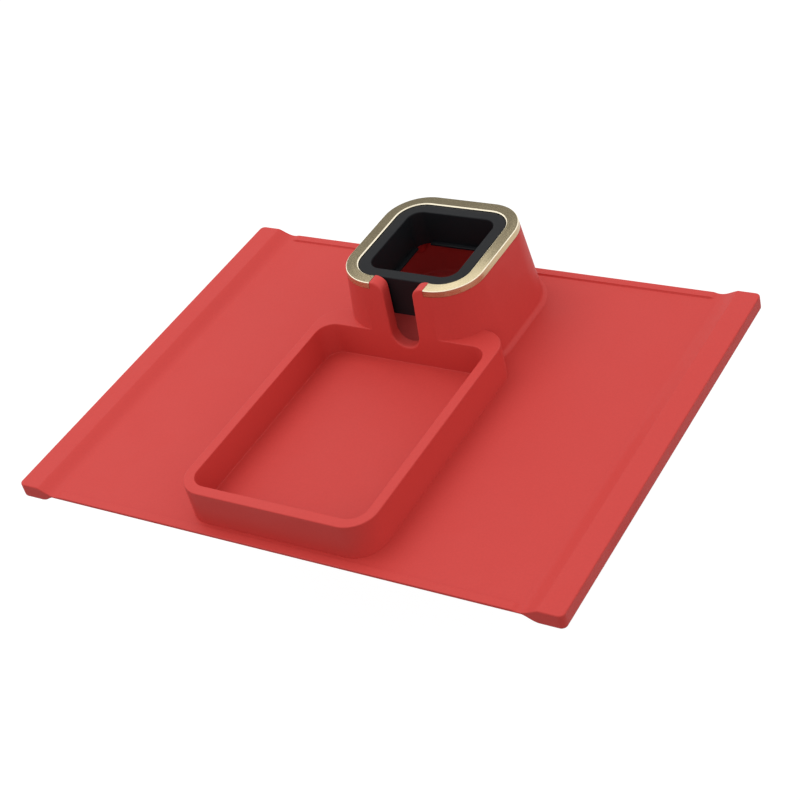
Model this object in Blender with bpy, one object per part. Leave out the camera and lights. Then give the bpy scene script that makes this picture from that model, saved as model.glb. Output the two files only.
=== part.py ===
"""Weighted silicone mat for a sofa arm, with a phone tray and a square cup tower.

The centre panel carries the tray and the tower in one moulding. A thin wing hangs
from each side of it, and each wing ends in a thick hem that holds steel bars.
Sizes are in metres. X runs along the front edge, Y from front to back, Z up, and
the origin is on the surface that the hems stand on, under the middle of the mat.
"""

import math

import bmesh
import bpy
from mathutils import Vector

GAP = 0.0003  # clearance between two pieces that touch
MARGIN = 0.0020  # how far a cutter runs past the face that it cuts through
REACH = 0.0200  # the same, where there is room for more

# Mat. Heights are measured from the top face of the thin sheet, at MAT_Z.
MAT_Z = 0.0083
MAT_HALF_X = 0.2576
MAT_HALF_Y = 0.1942
SHEET = 0.0016
FOLD_X = 0.100  # a wing folds about this line, at the sheet's lower face
LIP_HEIGHT = 0.0010
LIP_WIDTH = 0.0068
LIP_END_X = 0.2185

# Hems
HEM_INNER_X = 0.2228  # where the sheet starts to thicken
HEM_FLAT_X = 0.2360  # where the full thickness starts
HEM_TOP = 0.0061
HEM_BOTTOM = -MAT_Z
HEM_TOP_ROUND = 0.0012
HEM_TOP_STEPS = 3
HEM_BOTTOM_ROUND = 0.0030
HEM_BOTTOM_STEPS = 5
HEM_CORNER = 0.0050
HEM_STEPS = 10

# Steel bars, their pockets in the hems, and the strip that closes the pockets
BAR_COUNT = 3
POCKET_X = (0.2380, 0.2556)
POCKET_CEILING = 0.0031
POCKET_LENGTH = 0.1248
POCKET_WEB = 0.0030
COVER_THICK = 0.0027

# Tray
TRAY_RIM = 0.0324
TRAY_HALF_X = 0.0906
TRAY_FRONT_Y = -0.1829
TRAY_BACK_Y = 0.0643
TRAY_CORNER = 0.0245
POCKET_HALF_X = 0.0815
POCKET_FRONT_Y = -0.1732
POCKET_BACK_Y = 0.04175
POCKET_CORNER = 0.0150
FLOOR = 0.0015  # floor of the tray and of the cup well

# Squares on the tower's axis, each as (half width, corner radius)
TOWER_SQUARE = (0.0650, 0.0364)  # the tower's and the trim's outer edge at the top
MOUTH_SQUARE = (0.0538, 0.0233)  # the trim's inner edge
SLEEVE_SQUARE = (0.0534, 0.0229)
BORE_SQUARE = (0.0425, 0.0125)

# Tower
TOWER_Y = 0.1114
TOWER_TOP = 0.0795
TOWER_DRAFT = 0.104  # outward lean of the walls towards the foot, run over rise
TOWER_WALL = 0.0112
FLARE = 0.0070
FLARE_STEPS = 4
WELL_ROUND = 0.0015  # bevel between the well's floor and its walls
POST_RADIUS = 0.0055
POST_OFFSET = 0.0485
POST_REACH = 0.0300
POST_TOP = 0.0403

# Handle slot
SLOT_TOP_HALF = 0.0146
SLOT_LOW_HALF = 0.0136
SLOT_SHOULDER = 0.0087
SLOT_LOW_Z = 0.0325
SLOT_BACK_Y = 0.0620  # behind the inner face of the front wall

# Metal trim on the tower's top
TRIM_PLATE = 0.0015
TRIM_SKIRT = 0.0057
TRIM_SKIRT_THICK = 0.0015
TRIM_LIP = 0.0045
TRIM_LIP_THICK = 0.0010
TRIM_CHAMFER = 0.0005
TRIM_GAP_HALF = 0.0264

# Removable cup sleeve
SLEEVE_TOP = 0.0784
SLEEVE_FOOT = 0.0406
SLEEVE_FLANGE = 0.0030
SLEEVE_WALL = 0.0024
BORE_END = 0.0449  # foot of the bore's wall, which is also the ledges' underside
LEDGE_HALF = 0.0387
LEDGE_THICK = 0.0023
LEDGE_RUN = 0.0310  # half length of each ledge strip, which leaves the corners open

CORNER_STEPS = 10
MERGE = 1e-6
FLAT_ANGLE = math.radians(0.05)
SHARP_ANGLE = math.radians(30.0)

# Colour, roughness and metallic value of each material
MATERIALS = {
    "silicone_red": ((0.560, 0.062, 0.056), 0.55, 0.0),
    "trim_gold": ((0.640, 0.530, 0.340), 0.32, 1.0),
    "sleeve_black": ((0.020, 0.021, 0.023), 0.45, 0.0),
    "bar_steel": ((0.480, 0.490, 0.500), 0.40, 1.0),
}


def clear_scene():
    """Removes every object that the file starts with."""
    for obj in list(bpy.data.objects):
        bpy.data.objects.remove(obj, do_unlink=True)


def make_material(name):
    """A Principled material from MATERIALS, made once."""
    if name in bpy.data.materials:
        return bpy.data.materials[name]
    colour, roughness, metallic = MATERIALS[name]
    material = bpy.data.materials.new(name)
    material.use_nodes = True
    shader = material.node_tree.nodes["Principled BSDF"]
    shader.inputs["Base Color"].default_value = (*colour, 1.0)
    shader.inputs["Roughness"].default_value = roughness
    shader.inputs["Metallic"].default_value = metallic
    material.diffuse_color = (*colour, 1.0)
    return material


def new_object(name, mesh_builder):
    """An object whose mesh a bmesh callback fills in."""
    bm = bmesh.new()
    mesh_builder(bm)
    bmesh.ops.recalc_face_normals(bm, faces=bm.faces)
    mesh = bpy.data.meshes.new(name)
    bm.to_mesh(mesh)
    bm.free()
    obj = bpy.data.objects.new(name, mesh)
    bpy.context.collection.objects.link(obj)
    return obj


def arc(hub, radius, start, end, steps):
    """Points on a circle round a hub, from one angle to another in degrees."""
    points = []
    for step in range(steps + 1):
        angle = math.radians(start + (end - start) * step / steps)
        points.append((hub[0] + radius * math.cos(angle), hub[1] + radius * math.sin(angle)))
    return points


def rounded_rectangle(half_x, half_y, corner, centre_y=0.0):
    """Outline of a rounded rectangle as (x, y) points, anticlockwise from above."""
    points = []
    for side_x, side_y, start in ((1, -1, -90), (1, 1, 0), (-1, 1, 90), (-1, -1, 180)):
        hub = (side_x * (half_x - corner), centre_y + side_y * (half_y - corner))
        points += arc(hub, corner, start, start + 90, CORNER_STEPS)
    return points


def rectangle_between(half_x, front, back, corner):
    """The same outline, given by its front and its back edge."""
    return rounded_rectangle(half_x, (back - front) / 2, corner, (front + back) / 2)


def loft(name, rings):
    """A closed solid through rings of (outline, height above the sheet), low to high."""

    def build(bm):
        loops = []
        for outline, height in rings:
            loops.append([bm.verts.new((x, y, MAT_Z + height)) for x, y in outline])
        for low, high in zip(loops, loops[1:]):
            count = len(low)
            for i in range(count):
                j = (i + 1) % count
                bm.faces.new((low[i], low[j], high[j], high[i]))
        bm.faces.new(list(reversed(loops[0])))
        bm.faces.new(loops[-1])

    return new_object(name, build)


def prism(name, outline, low, high):
    """An upright solid with one outline, between two heights above the sheet."""
    return loft(name, [(outline, low), (outline, high)])


def block(name, x_range, y_range, z_range):
    """A box between pairs of limits, heights being above the sheet."""
    outline = [(x_range[0], y_range[0]), (x_range[1], y_range[0])]
    outline += [(x_range[1], y_range[1]), (x_range[0], y_range[1])]
    return prism(name, outline, *z_range)


def sweep(name, profile, axis, low, high):
    """A closed solid: a profile of (across, height) pairs swept along X or Y."""

    def place(along, across, height):
        if axis == "X":
            return (along, across, MAT_Z + height)
        return (across, along, MAT_Z + height)

    def build(bm):
        ends = []
        for along in (low, high):
            ends.append([bm.verts.new(place(along, across, height)) for across, height in profile])
        count = len(profile)
        for i in range(count):
            j = (i + 1) % count
            bm.faces.new((ends[0][i], ends[0][j], ends[1][j], ends[1][i]))
        bm.faces.new(list(reversed(ends[0])))
        bm.faces.new(ends[1])

    return new_object(name, build)


def combine(target, tool, operation):
    """Applies a Boolean of target with tool, and removes the tool."""
    modifier = target.modifiers.new("combine", "BOOLEAN")
    modifier.operation = operation
    modifier.solver = "EXACT"
    modifier.object = tool
    bpy.context.view_layer.update()
    evaluated = target.evaluated_get(bpy.context.evaluated_depsgraph_get())
    mesh = bpy.data.meshes.new_from_object(evaluated)
    target.modifiers.clear()
    target.data = mesh
    mesh.name = target.name
    bpy.data.objects.remove(tool, do_unlink=True)


def finish(obj, material, origin, parent=None):
    """Cleans the mesh, sets the object's origin, parent and material, and shades it."""
    bm = bmesh.new()
    bm.from_mesh(obj.data)
    bmesh.ops.remove_doubles(bm, verts=bm.verts, dist=MERGE)
    bmesh.ops.dissolve_limit(bm, angle_limit=FLAT_ANGLE, verts=bm.verts, edges=bm.edges)
    bmesh.ops.translate(bm, verts=bm.verts, vec=-Vector(origin))
    bm.to_mesh(obj.data)
    bm.free()
    obj.location = Vector(origin)
    if parent is not None:
        obj.parent = parent
        obj.location -= parent.location
    obj.data.materials.clear()
    obj.data.materials.append(make_material(material))
    obj.data.shade_smooth()
    obj.data.set_sharp_from_angle(angle=SHARP_ANGLE)
    return obj


def square_ring(square, offset, height):
    """A ring of a loft on the tower's axis: a square moved outwards by an offset."""
    half, corner = square
    return rounded_rectangle(half + offset, half + offset, corner + offset, TOWER_Y), height


def square_prism(name, square, offset, low, high):
    """An upright rounded-square solid on the tower's axis."""
    return prism(name, square_ring(square, offset, low)[0], low, high)


def tower_ring(height, offset):
    """The tower's leaning face at a height, moved outwards by an offset."""
    return square_ring(TOWER_SQUARE, TOWER_DRAFT * (TOWER_TOP - height) + offset, height)


def slot_outline():
    """The handle slot as (x, height) pairs: round foot, sloped sides, flared shoulders."""
    shoulder = (SLOT_TOP_HALF + SLOT_SHOULDER, TOWER_TOP - SLOT_SHOULDER)
    right = arc((0.0, SLOT_LOW_Z), SLOT_LOW_HALF, -90, 0, CORNER_STEPS)
    right += arc(shoulder, SLOT_SHOULDER, 180, 90, CORNER_STEPS)
    right.append((shoulder[0], TOWER_TOP + REACH))
    left = [(-x, z) for x, z in reversed(right[1:])]
    return right + left


def bridge_block(half_x):
    """The stretch of the tower's front wall that the trim leaves open."""
    y_range = (TRAY_BACK_Y - 2 * REACH, TRAY_BACK_Y + REACH / 2)
    return block("bridge", (-half_x, half_x), y_range, (TOWER_TOP - REACH, TOWER_TOP + REACH))


def make_panel():
    """The centre panel: a thin sheet with a low bead along its front and back edges."""
    edge = FOLD_X - GAP / 2
    foot = MAT_HALF_Y - LIP_WIDTH
    slope = foot - LIP_HEIGHT / 2
    back = [(MAT_HALF_Y, -SHEET), (MAT_HALF_Y, LIP_HEIGHT), (foot, LIP_HEIGHT), (slope, 0.0)]
    front = [(-y, z) for y, z in reversed(back)]
    return sweep("mat_centre", back + front, "X", -edge, edge)


def make_tower():
    """The tower's outer shape: leaning walls on a rounded flare."""
    rings = [(tower_ring(0.0, FLARE)[0], -SHEET / 2)]
    for step in range(FLARE_STEPS + 1):
        angle = math.radians(90.0 * step / FLARE_STEPS)
        rings.append(tower_ring(FLARE * (1 - math.cos(angle)), FLARE * (1 - math.sin(angle))))
    rings.append(tower_ring(TOWER_TOP, 0.0))
    return loft("tower", rings)


def make_post(side_x, side_y):
    """One of the four posts in the well's corners that the sleeve stands on."""
    hub = (side_x * POST_OFFSET, TOWER_Y + side_y * POST_OFFSET)
    # a round nose towards the well's axis, and straight flanks into the wall behind
    turn = math.degrees(math.atan2(-side_y, -side_x)) - 90
    points = arc(hub, POST_RADIUS, turn, turn + 180, CORNER_STEPS)
    back = Vector((side_x, side_y)).normalized() * POST_REACH
    points.append((points[-1][0] + back.x, points[-1][1] + back.y))
    points.append((points[0][0] + back.x, points[0][1] + back.y))
    return prism("post", points, FLOOR - MARGIN, POST_TOP)


def make_well():
    """Cutter for the hollow inside the tower, with the posts left standing."""
    rings = [tower_ring(FLOOR, -TOWER_WALL - WELL_ROUND)]
    rings.append(tower_ring(FLOOR + WELL_ROUND, -TOWER_WALL))
    rings.append(tower_ring(TOWER_TOP + MARGIN, -TOWER_WALL))
    well = loft("well", rings)
    for side_x in (-1, 1):
        for side_y in (-1, 1):
            combine(well, make_post(side_x, side_y), "DIFFERENCE")
    return well


def make_trim_seat():
    """Cutter for the step in the tower's top edge that the trim clips over."""
    above = TOWER_TOP + REACH
    half = TOWER_SQUARE[0] + REACH
    y_range = (TOWER_Y - half, TOWER_Y + half)
    seat = block("seat", (-half, half), y_range, (TOWER_TOP - TRIM_SKIRT - GAP, above))
    under_plate = TOWER_TOP - TRIM_PLATE - GAP
    core_low = TOWER_TOP - REACH
    wall = square_prism("wall", TOWER_SQUARE, -TRIM_SKIRT_THICK - GAP, core_low, under_plate)
    combine(seat, wall, "DIFFERENCE")
    lip_low = under_plate - TRIM_LIP
    mouth = square_prism("mouth", MOUTH_SQUARE, TRIM_LIP_THICK + GAP, lip_low, above - MARGIN)
    combine(seat, mouth, "UNION")
    combine(seat, bridge_block(TRIM_GAP_HALF - GAP), "DIFFERENCE")
    return seat


def make_centre():
    """Centre panel, tray and tower, as one moulding."""
    body = make_panel()
    tray = rectangle_between(TRAY_HALF_X, TRAY_FRONT_Y, TRAY_BACK_Y, TRAY_CORNER)
    combine(body, prism("tray", tray, -SHEET / 2, TRAY_RIM), "UNION")
    combine(body, make_tower(), "UNION")
    pocket = rectangle_between(POCKET_HALF_X, POCKET_FRONT_Y, POCKET_BACK_Y, POCKET_CORNER)
    combine(body, prism("pocket", pocket, FLOOR, TRAY_RIM + MARGIN), "DIFFERENCE")
    combine(body, make_well(), "DIFFERENCE")
    slot = sweep("slot", slot_outline(), "Y", POCKET_BACK_Y - MARGIN, SLOT_BACK_Y)
    combine(body, slot, "DIFFERENCE")
    combine(body, make_trim_seat(), "DIFFERENCE")
    return finish(body, "silicone_red", (0.0, 0.0, MAT_Z))


def make_trim():
    """C-shaped trim: a flat plate with an outer skirt and a short inner lip."""
    low = TOWER_TOP - TRIM_SKIRT
    shoulder = TOWER_TOP - TRIM_CHAMFER
    rings = [tower_ring(low, 0.0), tower_ring(shoulder, 0.0)]
    rings.append(tower_ring(TOWER_TOP, -TRIM_CHAMFER))
    trim = loft("cup_rim_trim", rings)

    bore = [square_ring(MOUTH_SQUARE, 0.0, low - MARGIN), square_ring(MOUTH_SQUARE, 0.0, shoulder)]
    bore.append(square_ring(MOUTH_SQUARE, 2 * TRIM_CHAMFER, TOWER_TOP + TRIM_CHAMFER))
    combine(trim, loft("bore", bore), "DIFFERENCE")

    under_plate = TOWER_TOP - TRIM_PLATE
    channel_low = low - MARGIN
    channel = square_prism("channel", TOWER_SQUARE, -TRIM_SKIRT_THICK, channel_low, under_plate)
    island = square_prism("island", MOUTH_SQUARE, TRIM_LIP_THICK, channel_low - MARGIN, TOWER_TOP)
    combine(channel, island, "DIFFERENCE")
    combine(trim, channel, "DIFFERENCE")
    lip_low = under_plate - TRIM_LIP
    lip_cut = square_prism("lip_cut", MOUTH_SQUARE, TRIM_LIP_THICK + GAP, channel_low - MARGIN, lip_low)
    combine(trim, lip_cut, "DIFFERENCE")
    combine(trim, bridge_block(TRIM_GAP_HALF), "DIFFERENCE")
    return finish(trim, "trim_gold", (0.0, TOWER_Y, MAT_Z + TOWER_TOP))


def make_sleeve():
    """Removable square sleeve: flange, bore wall and skirt, cored from below."""
    sleeve = square_prism("cup_insert", SLEEVE_SQUARE, 0.0, SLEEVE_FOOT, SLEEVE_TOP)
    core_low = SLEEVE_FOOT - MARGIN
    core_top = SLEEVE_TOP - SLEEVE_FLANGE
    core = square_prism("core", SLEEVE_SQUARE, -SLEEVE_WALL, core_low, core_top)
    wall = square_prism("wall", BORE_SQUARE, SLEEVE_WALL, BORE_END, SLEEVE_TOP)
    combine(core, wall, "DIFFERENCE")
    combine(sleeve, core, "DIFFERENCE")
    bore_low = core_low - MARGIN
    bore = square_prism("bore", BORE_SQUARE, 0.0, bore_low, SLEEVE_TOP + MARGIN)
    combine(sleeve, bore, "DIFFERENCE")
    for turn in range(4):
        combine(sleeve, make_ledge(turn), "UNION")
    return finish(sleeve, "sleeve_black", (0.0, TOWER_Y, MAT_Z + SLEEVE_FOOT))


def make_ledge(turn):
    """One inward ledge strip at the foot of the bore, turned by quarter turns."""
    outer = BORE_SQUARE[0] + SLEEVE_WALL / 2
    corners = [(LEDGE_HALF, -LEDGE_RUN), (outer, -LEDGE_RUN)]
    corners += [(outer, LEDGE_RUN), (LEDGE_HALF, LEDGE_RUN)]
    cosine, sine = ((1, 0), (0, 1), (-1, 0), (0, -1))[turn]
    points = [(x * cosine - y * sine, TOWER_Y + x * sine + y * cosine) for x, y in corners]
    low = BORE_END + MERGE
    return prism("ledge", points, low, low + LEDGE_THICK)


def ramp(start, end):
    """An S-shaped run of (x, height) pairs over the hem's ramp, from the sheet outwards."""
    points = []
    for step in range(HEM_STEPS + 1):
        share = step / HEM_STEPS
        rise = (1 - math.cos(math.pi * share)) / 2
        x = HEM_INNER_X + (HEM_FLAT_X - HEM_INNER_X) * share
        points.append((x, start + (end - start) * rise))
    return points


def hem_profile(side):
    """Section of a wing as (x, height) pairs: thin sheet, S-shaped ramps and thick hem."""
    inner = FOLD_X + GAP / 2
    top_hub = (MAT_HALF_X - HEM_TOP_ROUND, HEM_TOP - HEM_TOP_ROUND)
    bottom_hub = (MAT_HALF_X - HEM_BOTTOM_ROUND, HEM_BOTTOM + HEM_BOTTOM_ROUND)
    points = [(inner, -SHEET), (inner, 0.0)]
    points += ramp(0.0, HEM_TOP)
    points += arc(top_hub, HEM_TOP_ROUND, 90, 0, HEM_TOP_STEPS)
    points += arc(bottom_hub, HEM_BOTTOM_ROUND, 0, -90, HEM_BOTTOM_STEPS)
    points += reversed(ramp(-SHEET, HEM_BOTTOM))
    return [(side * x, z) for x, z in points]


def bar_spans():
    """Front and back ends of each bar pocket."""
    pitch = POCKET_LENGTH + POCKET_WEB
    first = -(BAR_COUNT * pitch - POCKET_WEB) / 2
    return [(first + i * pitch, first + i * pitch + POCKET_LENGTH) for i in range(BAR_COUNT)]


def side_range(side, low, high):
    """An X range on one side of the mat, given for the right side."""
    return (low, high) if side > 0 else (-high, -low)


def make_bead(side, edge):
    """The low bead along the front or the back edge of a wing."""
    foot = MAT_HALF_Y - LIP_WIDTH
    slope = foot - LIP_HEIGHT / 2
    profile = [(MAT_HALF_Y, -SHEET / 2), (MAT_HALF_Y, LIP_HEIGHT), (foot, LIP_HEIGHT)]
    profile += [(slope, 0.0), (slope, -SHEET / 2)]
    profile = [(edge * y, z) for y, z in profile]
    return sweep("bead", profile, "X", *side_range(side, FOLD_X + GAP / 2, LIP_END_X))


def make_wing(side, name):
    """One wing: thin sheet, edge beads and the thick hem with its bar pockets."""
    wing = sweep(name, hem_profile(side), "Y", -MAT_HALF_Y, MAT_HALF_Y)
    outline = rounded_rectangle(MAT_HALF_X, MAT_HALF_Y, HEM_CORNER)
    combine(wing, prism("keep", outline, HEM_BOTTOM - MARGIN, HEM_TOP + MARGIN), "INTERSECT")
    for edge in (-1, 1):
        combine(wing, make_bead(side, edge), "UNION")
    spans = bar_spans()
    x_range = side_range(side, *POCKET_X)
    cover_top = HEM_BOTTOM + COVER_THICK + GAP
    y_range = (spans[0][0], spans[-1][1])
    recess = block("recess", x_range, y_range, (HEM_BOTTOM - MARGIN, cover_top))
    for span in spans:
        pocket = block("pocket", x_range, span, (cover_top - MARGIN, POCKET_CEILING))
        combine(recess, pocket, "UNION")
    combine(wing, recess, "DIFFERENCE")
    return finish(wing, "silicone_red", (side * FOLD_X, 0.0, MAT_Z - SHEET))


def make_bar(name, side, span, wing):
    """One steel bar in its pocket."""
    x_range = side_range(side, POCKET_X[0] + GAP, POCKET_X[1] - GAP)
    low = HEM_BOTTOM + COVER_THICK + GAP
    bar = block(name, x_range, (span[0] + GAP, span[1] - GAP), (low, POCKET_CEILING - GAP))
    centre = (sum(x_range) / 2, sum(span) / 2, MAT_Z + low)
    return finish(bar, "bar_steel", centre, wing)


def make_cover(name, side, wing):
    """The bonded strip that closes the bar pockets from below."""
    x_range = side_range(side, POCKET_X[0] + GAP, POCKET_X[1] - GAP)
    spans = bar_spans()
    y_range = (spans[0][0] + GAP, spans[-1][1] - GAP)
    cover = block(name, x_range, y_range, (HEM_BOTTOM, HEM_BOTTOM + COVER_THICK))
    return finish(cover, "silicone_red", (sum(x_range) / 2, 0.0, 0.0), wing)


def build():
    """Builds every piece."""
    clear_scene()
    centre = make_centre()
    for piece in (make_trim(), make_sleeve()):
        piece.parent = centre
        piece.location -= centre.location
    for side, label in ((-1, "left"), (1, "right")):
        wing = make_wing(side, f"{label}_wing")
        make_cover(f"{label}_hem_cover", side, wing)
        for number, span in enumerate(bar_spans(), start=1):
            make_bar(f"{label}_weight_{number}", side, span, wing)


build()
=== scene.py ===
"""Looks of a weighted silicone sofa-arm mat with a phone tray and a square cup tower.

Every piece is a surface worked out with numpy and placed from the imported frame. Sizes
are in metres. X runs along the mat's front edge, Y from front to back and Z up. Heights
inside the classes are measured from the top face of the thin sheet, and `MAT_TOP` lifts
them to their place.
"""

import logging
import math
from dataclasses import dataclass, field
from enum import Enum
from typing import Any

import bmesh
import bpy
import numpy as np
from mathutils import Matrix, Vector


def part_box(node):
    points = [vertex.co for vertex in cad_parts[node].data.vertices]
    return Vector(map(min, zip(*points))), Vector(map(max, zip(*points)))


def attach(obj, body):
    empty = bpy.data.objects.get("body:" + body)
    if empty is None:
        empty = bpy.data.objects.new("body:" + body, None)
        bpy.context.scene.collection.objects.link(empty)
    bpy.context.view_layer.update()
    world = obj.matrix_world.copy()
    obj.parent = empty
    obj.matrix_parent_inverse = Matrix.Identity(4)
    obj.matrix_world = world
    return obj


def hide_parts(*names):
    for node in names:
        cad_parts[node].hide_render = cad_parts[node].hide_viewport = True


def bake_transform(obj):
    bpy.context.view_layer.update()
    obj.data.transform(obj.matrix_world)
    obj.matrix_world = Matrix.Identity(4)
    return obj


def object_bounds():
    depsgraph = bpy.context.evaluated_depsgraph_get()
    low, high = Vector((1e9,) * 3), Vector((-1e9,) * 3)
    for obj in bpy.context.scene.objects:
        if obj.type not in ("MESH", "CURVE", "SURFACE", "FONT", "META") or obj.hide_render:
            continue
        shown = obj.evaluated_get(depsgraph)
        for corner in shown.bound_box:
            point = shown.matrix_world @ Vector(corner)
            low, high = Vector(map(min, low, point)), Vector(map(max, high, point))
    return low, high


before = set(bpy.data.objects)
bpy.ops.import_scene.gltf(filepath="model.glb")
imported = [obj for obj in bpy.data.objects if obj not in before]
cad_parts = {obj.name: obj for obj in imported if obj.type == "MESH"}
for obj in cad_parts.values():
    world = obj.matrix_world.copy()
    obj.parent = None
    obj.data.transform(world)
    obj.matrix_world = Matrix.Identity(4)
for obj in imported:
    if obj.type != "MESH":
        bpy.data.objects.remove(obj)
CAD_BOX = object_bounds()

Array = np.ndarray
Colour = tuple[float, float, float]
Corner = tuple[float, float, float]

LOG = logging.getLogger("sofa_mat")
SHEET = 0.0016  # thickness of the thin sheet
MAT_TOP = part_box("mat_centre")[0].z + SHEET
GAP = 0.0003  # clearance between two pieces that touch
CLEAR = 0.0030  # how far a cutter runs past the face that it cuts through
ARC_STEPS = 8  # segments of a small rounding in a profile
EDGE_STEPS = 6  # segments of a box's rounded edge
CORNER_STEPS = 20  # segments of a quarter turn in plan
SHARP = math.radians(32.0)  # edges that turn more than this stay sharp
WELD_REACH = 2e-6  # points nearer than this are one
UV_NAME = "path"  # UV map of a piece whose streaks follow its length


class Slot(Enum):
    """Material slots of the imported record."""

    SILICONE = "silicone_red"
    TRIM = "trim_gold"
    SLEEVE = "sleeve_black"
    STEEL = "bar_steel"


class Side(Enum):
    """The two wings, as the sign of their X."""

    LEFT = -1
    RIGHT = 1

    @property
    def word(self) -> str:
        """The side's word, as node and body names use it."""
        return self.name.lower()


# ---------------------------------------------------------------------------
# Curves and surfaces


def ease(share: Array) -> Array:
    """S-shaped step (1 - cos(pi t)) / 2, with t held between 0 and 1."""
    return (1.0 - np.cos(np.pi * np.clip(share, 0.0, 1.0))) / 2.0


def rounded_profile(corners: list[Corner], steps: int = ARC_STEPS, closed: bool = False) -> Array:
    """Polyline whose corners are rounded.

    Each corner is replaced by the arc of its radius that is tangent to both legs. The
    arc's hub lies on the corner's bisector, at radius / sin(half the corner's angle).

    Args:
        corners: (across, height, radius) of each corner.
        steps: segments of each arc.
        closed: whether the last corner is joined to the first.

    Returns:
        Points as an array of (across, height) rows.
    """
    spots = [np.array(corner[:2]) for corner in corners]
    count = len(corners)
    rows = []
    for i, (_, _, radius) in enumerate(corners):
        here = spots[i]
        if radius == 0.0 or (not closed and i in (0, count - 1)):
            rows.append(here[None, :])
            continue
        back = spots[i - 1] - here
        on = spots[(i + 1) % count] - here
        back = back / np.linalg.norm(back)
        on = on / np.linalg.norm(on)
        half = math.acos(float(np.clip(back @ on, -1.0, 1.0))) / 2.0
        bisector = (back + on) / np.linalg.norm(back + on)
        hub = here + bisector * radius / math.sin(half)
        start = here + back * radius / math.tan(half) - hub
        end = here + on * radius / math.tan(half) - hub
        first = math.atan2(start[1], start[0])
        turn = math.atan2(end[1], end[0]) - first
        turn = (turn + math.pi) % (2.0 * math.pi) - math.pi
        angles = first + turn * np.linspace(0.0, 1.0, steps + 1)
        rows.append(hub + radius * np.stack([np.cos(angles), np.sin(angles)], axis=1))
    return np.concatenate(rows)


def rounded_rectangle(
    half_x: float, half_y: float, corner: float, centre_y: float = 0.0
) -> tuple[Array, Array]:
    """Outline of a rounded rectangle, anticlockwise from above.

    Each quarter is its hub plus the corner's radius times the unit vector at an angle
    that runs over 90 degrees. The first quarter is the front right one.

    Args:
        half_x: half its width.
        half_y: half its depth.
        corner: radius of its corners.
        centre_y: place of its centre along Y.

    Returns:
        Points and outward unit normals, each as (x, y) rows.
    """
    starts = np.radians([-90.0, 0.0, 90.0, 180.0])[:, None]
    angles = starts + np.radians(np.linspace(0.0, 90.0, CORNER_STEPS + 1))[None, :]
    normals = np.stack([np.cos(angles), np.sin(angles)], axis=-1)
    signs = np.array([[1.0, -1.0], [1.0, 1.0], [-1.0, 1.0], [-1.0, -1.0]])
    hubs = signs * np.array([half_x - corner, half_y - corner]) + np.array([0.0, centre_y])
    points = hubs[:, None, :] + corner * normals
    return points.reshape(-1, 2), normals.reshape(-1, 2)


def lifted(plan: Array, heights: Array) -> Array:
    """Rings of (x, y) points with a height above the sheet given to each ring."""
    levels = np.broadcast_to(heights[:, None, None], (*plan.shape[:2], 1))
    return np.concatenate([plan, levels + MAT_TOP], axis=-1)


def loft_rings(outline: Array, normals: Array, profile: Array) -> Array:
    """Grid of a profile carried round an outline.

    Point (k, s) is outline[s] + offset[k] * normal[s], at height[k].

    Args:
        outline: (x, y) rows of the outline at offset 0.
        normals: its outward unit normals.
        profile: (offset, height) rows, low to high on an outer face.

    Returns:
        Points as an array of shape (rings, stations, 3).
    """
    plan = outline[None, :, :] + profile[:, 0, None, None] * normals[None, :, :]
    return lifted(plan, profile[:, 1])


def ruled_rings(inner: Array, outer: Array, width: float, section: Array) -> Array:
    """Grid of a section carried between two rails.

    Point (k, s) is inner[s] * (1 - w) + outer[s] * w, where w is the section's distance
    from the inner rail divided by the width between the rails.

    Args:
        inner: (x, y) rows of the inner rail.
        outer: (x, y) rows of the outer rail, station by station beside the inner one.
        width: distance between the rails along a straight side.
        section: (distance from the inner rail, height) rows.

    Returns:
        Points as an array of shape (section points, stations, 3).
    """
    share = (section[:, 0] / width)[:, None, None]
    plan = inner[None, :, :] * (1.0 - share) + outer[None, :, :] * share
    return lifted(plan, section[:, 1])


def path_lengths(points: Array) -> Array:
    """Distance along a run of points, from its first point to each."""
    steps = np.linalg.norm(np.diff(points, axis=0), axis=1)
    return np.concatenate([[0.0], np.cumsum(steps)])


def grid_faces(rows: int, columns: int, wrap_rows: bool, wrap_columns: bool) -> Array:
    """Quads of a grid whose points are numbered row by row.

    Args:
        rows: number of rows.
        columns: number of points in a row.
        wrap_rows: whether the last row is joined to the first.
        wrap_columns: whether the last column is joined to the first.

    Returns:
        Point numbers, one quad in each row of the array.
    """
    k = np.arange(rows if wrap_rows else rows - 1)[:, None]
    s = np.arange(columns if wrap_columns else columns - 1)[None, :]
    k_next = (k + 1) % rows
    s_next = (s + 1) % columns
    quads = [k * columns + s, k * columns + s_next, k_next * columns + s_next, k_next * columns + s]
    return np.stack([q.ravel() for q in np.broadcast_arrays(*quads)], axis=1)


def mesh_object(name: str, points: Array, faces: list[list[int]]) -> bpy.types.Object:
    """An object at the origin with these points and faces."""
    mesh = bpy.data.meshes.new(name)
    mesh.from_pydata(points.tolist(), [], faces)
    mesh.update()
    piece = bpy.data.objects.new(name, mesh)
    bpy.context.collection.objects.link(piece)
    return piece


def solid_from_rings(name: str, grid: Array) -> bpy.types.Object:
    """Closed solid through closed rings, with a flat cap on its first and last ring."""
    rings, stations = grid.shape[:2]
    faces = grid_faces(rings, stations, False, True).tolist()
    faces.append(list(range(stations))[::-1])
    faces.append(list(range((rings - 1) * stations, rings * stations)))
    return weld(mesh_object(name, grid.reshape(-1, 3), faces))


def loft(name: str, outline: tuple[Array, Array], profile: Array) -> bpy.types.Object:
    """Closed solid of a profile carried round an outline, which comes with its normals."""
    return solid_from_rings(name, loft_rings(*outline, profile))


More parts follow.
